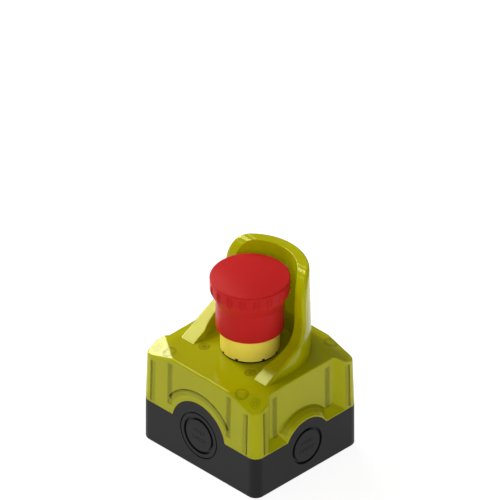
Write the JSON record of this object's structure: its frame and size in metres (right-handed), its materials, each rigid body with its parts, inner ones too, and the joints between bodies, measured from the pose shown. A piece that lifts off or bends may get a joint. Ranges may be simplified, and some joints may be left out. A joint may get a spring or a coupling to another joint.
{
  "type": "emergency stop button",
  "caption": "Palm-operated emergency stop button on a small wall enclosure, with a translucent cover and a raised U-shaped guard round the back of the red head.",
  "frame": {"origin": "centre of the enclosure's underside, on the wall face", "axes": "+Z out of the wall along the button's axis, X along the enclosure's long sides, -Y to the guard's open side"},
  "size_m": [0.08, 0.072, 0.1045],
  "materials": {
    "black_shell": "satin moulded",
    "translucent_lime": "glossy translucent",
    "red_cap": "satin moulded",
    "yellow_collar": "satin moulded",
    "seal_rubber": "matte",
    "grey_core": "satin moulded",
    "block_housing": "satin moulded",
    "plunger_red": "satin moulded",
    "plunger_green": "satin moulded",
    "screw_steel": "zinc plated",
    "spring_steel": "drawn wire",
    "brass": "turned",
    "board_laminate": "solder mask",
    "led_lens": "moulded lens"
  },
  "bodies": {
    "station": {"enclosure_base": "black_shell", "threaded_inserts": "brass", "cover_seal": "seal_rubber", "enclosure_cover": "translucent_lime", "cover_screws": "screw_steel", "guard_hood": "translucent_lime", "led_board": "board_laminate", "led_chips": "led_lens", "led_board_screws": "screw_steel", "collar_seal": "seal_rubber", "bezel_collar": "yellow_collar", "actuator_body": "black_shell", "latch_springs": "spring_steel", "fixing_nut": "black_shell", "return_spring": "spring_steel", "terminal_clamps": "brass", "terminal_screws": "screw_steel", "contact_housing_nc_1": "block_housing", "fixed_contacts_nc_1": "brass", "contact_spring_nc_1": "spring_steel", "contact_housing_no": "block_housing", "fixed_contacts_no": "brass", "contact_spring_no": "spring_steel", "contact_housing_nc_2": "block_housing", "fixed_contacts_nc_2": "brass", "contact_spring_nc_2": "spring_steel"},
    "button": {"mushroom_head": "red_cap", "stem": "grey_core", "pusher": "grey_core"},
    "contact_nc_1": {"plunger_nc_1": "plunger_red", "contact_bridge_nc_1": "brass"},
    "contact_no": {"plunger_no": "plunger_green", "contact_bridge_no": "brass"},
    "contact_nc_2": {"plunger_nc_2": "plunger_red", "contact_bridge_nc_2": "brass"}
  },
  "joints": [
    {"name": "head_press", "type": "slide", "parent": "station", "child": "button", "axis": [0, 0, -1], "range_m": [0, 0.0055], "stiffness_N_per_m": 2000, "springref_m": -0.003, "deforming": ["return_spring"]},
    {"name": "plunger_nc_1_slide", "type": "slide", "parent": "station", "child": "contact_nc_1", "axis": [0, 0, -1], "range_m": [0, 0.0055], "deforming": ["contact_spring_nc_1"]},
    {"name": "plunger_no_slide", "type": "slide", "parent": "station", "child": "contact_no", "axis": [0, 0, -1], "range_m": [0, 0.0055], "deforming": ["contact_spring_no"]},
    {"name": "plunger_nc_2_slide", "type": "slide", "parent": "station", "child": "contact_nc_2", "axis": [0, 0, -1], "range_m": [0, 0.0055], "deforming": ["contact_spring_nc_2"]}
  ],
  "couplings": [
    {"joint": "plunger_nc_1_slide", "follows": "head_press", "ratio": 1},
    {"joint": "plunger_no_slide", "follows": "head_press", "ratio": 1},
    {"joint": "plunger_nc_2_slide", "follows": "head_press", "ratio": 1}
  ]
}
